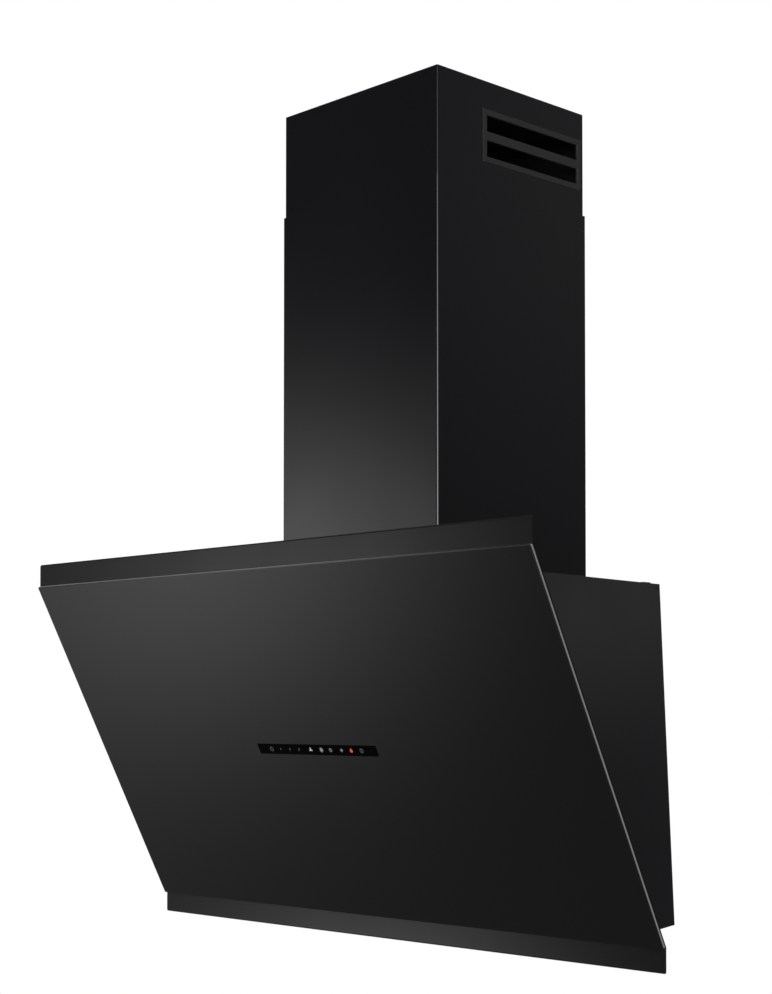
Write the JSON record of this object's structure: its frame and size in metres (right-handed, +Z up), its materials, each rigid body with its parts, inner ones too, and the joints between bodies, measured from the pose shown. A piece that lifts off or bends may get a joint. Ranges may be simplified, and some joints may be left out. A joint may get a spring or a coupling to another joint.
{
  "type": "chimney range hood",
  "caption": "Inclined wall-mounted chimney range hood with a hinged black glass front, touch strip, telescopic square chimney and side air vents.",
  "frame": {"origin": "centre of the four wall screws, on the back panel's rear face, which lies on the wall", "axes": "+X to the right seen by the cook, +Y into the wall, +Z up along the chimney"},
  "size_m": [0.798, 0.4074, 0.9579],
  "materials": {
    "black_glass": "gloss, enamelled black behind",
    "black_steel": "satin black powder coat",
    "control_lens": "gloss",
    "zinc_steel": "bright zinc",
    "filter_aluminium": "expanded metal, satin",
    "duct_foil": "corrugated foil",
    "blower_plastic": "moulded",
    "black_plastic": "moulded, fine grain",
    "motor_paint": "satin",
    "circuit_board": "solder mask",
    "terminal_plastic": "moulded",
    "capacitor_shell": "moulded",
    "charcoal_plastic": "moulded grid over carbon",
    "magnet_black": "sintered",
    "spring_steel": "drawn wire",
    "lamp_metal": "satin",
    "lamp_diffuser": "frosted"
  },
  "bodies": {
    "housing": {"right_side_panel": "black_steel", "left_side_panel": "black_steel", "top_panel": "black_steel", "bottom_panel": "black_steel", "back_panel": "black_steel", "front_fascia": "black_steel", "lower_chimney": "black_steel", "chimney_screws": "zinc_steel", "damper_pin": "zinc_steel", "lower_duct_clamp": "zinc_steel", "motor_mount": "zinc_steel", "hinge_bracket_left": "zinc_steel", "hinge_bracket_right": "zinc_steel", "hinge_pin_left": "zinc_steel", "hinge_pin_right": "zinc_steel", "grease_filter_frame_left": "filter_aluminium", "grease_filter_frame_right": "filter_aluminium", "grease_filter_mesh_left": "filter_aluminium", "grease_filter_mesh_right": "filter_aluminium", "exhaust_duct": "duct_foil", "blower_scroll_right": "blower_plastic", "blower_scroll_left": "blower_plastic", "outlet_collar": "blower_plastic", "cable_gland": "black_plastic", "control_box": "black_plastic", "control_box_lid": "black_plastic", "blower_motor": "motor_paint", "power_board": "circuit_board", "terminal_block": "terminal_plastic", "run_capacitor": "capacitor_shell", "door_magnets": "magnet_black", "latch_spring_left": "spring_steel", "latch_spring_right": "spring_steel", "lamp_left": "lamp_metal", "lamp_right": "lamp_metal", "lamp_lens_left": "lamp_diffuser", "lamp_lens_right": "lamp_diffuser"},
    "door": {"glass_panel": "black_glass", "door_carrier": "black_steel", "control_window": "control_lens", "touch_board": "circuit_board", "touch_board_case": "black_plastic", "strike_plates": "zinc_steel", "hinge_arm_left": "zinc_steel", "hinge_arm_right": "zinc_steel"},
    "upper_cover": {"upper_chimney": "black_steel", "vent_grille_left": "black_plastic", "vent_grille_right": "black_plastic", "air_deflector": "black_plastic", "upper_wall_bracket": "zinc_steel", "upper_duct_clamp": "zinc_steel"},
    "fan_wheel": {"impeller": "black_plastic", "impeller_blades": "black_plastic", "motor_shaft": "zinc_steel"},
    "front_flap": {"damper_flap_front": "black_plastic"},
    "rear_flap": {"damper_flap_rear": "black_plastic"},
    "left_latch": {"filter_latch_left": "black_plastic"},
    "right_latch": {"filter_latch_right": "black_plastic"},
    "left_charcoal": {"charcoal_filter_left": "charcoal_plastic"},
    "right_charcoal": {"charcoal_filter_right": "charcoal_plastic"}
  },
  "joints": [
    {"name": "door_hinge", "type": "hinge", "parent": "housing", "child": "door", "pos_m": [0, -0.37714, 0.18594], "axis": [-1, 0, 0], "range_deg": [0, 75]},
    {"name": "chimney_slide", "type": "slide", "parent": "housing", "child": "upper_cover", "axis": [0, 0, 1], "range_m": [-0.1, 0.24], "deforming": ["exhaust_duct"]},
    {"name": "fan_spin", "type": "hinge", "parent": "housing", "child": "fan_wheel", "pos_m": [0, -0.16625, 0.085], "axis": [1, 0, 0], "continuous": true},
    {"name": "front_flap_hinge", "type": "hinge", "parent": "housing", "child": "front_flap", "pos_m": [0, -0.12425, 0.202], "axis": [-1, 0, 0], "range_deg": [0, 78]},
    {"name": "rear_flap_hinge", "type": "hinge", "parent": "housing", "child": "rear_flap", "pos_m": [0, -0.12425, 0.202], "axis": [1, 0, 0], "range_deg": [0, 78]},
    {"name": "left_latch_slide", "type": "slide", "parent": "housing", "child": "left_latch", "axis": [0, 0.4531, -0.8915], "range_m": [0, 0.007], "stiffness_N_per_m": 600, "springref_m": -0.003, "deforming": ["latch_spring_left"]},
    {"name": "right_latch_slide", "type": "slide", "parent": "housing", "child": "right_latch", "axis": [0, 0.4531, -0.8915], "range_m": [0, 0.007], "stiffness_N_per_m": 600, "springref_m": -0.003, "deforming": ["latch_spring_right"]},
    {"name": "left_charcoal_twist", "type": "hinge", "parent": "housing", "child": "left_charcoal", "pos_m": [-0.0935, -0.16625, 0.085], "axis": [-1, 0, 0], "range_deg": [0, 26]},
    {"name": "right_charcoal_twist", "type": "hinge", "parent": "housing", "child": "right_charcoal", "pos_m": [0.0935, -0.16625, 0.085], "axis": [1, 0, 0], "range_deg": [0, 26]}
  ]
}
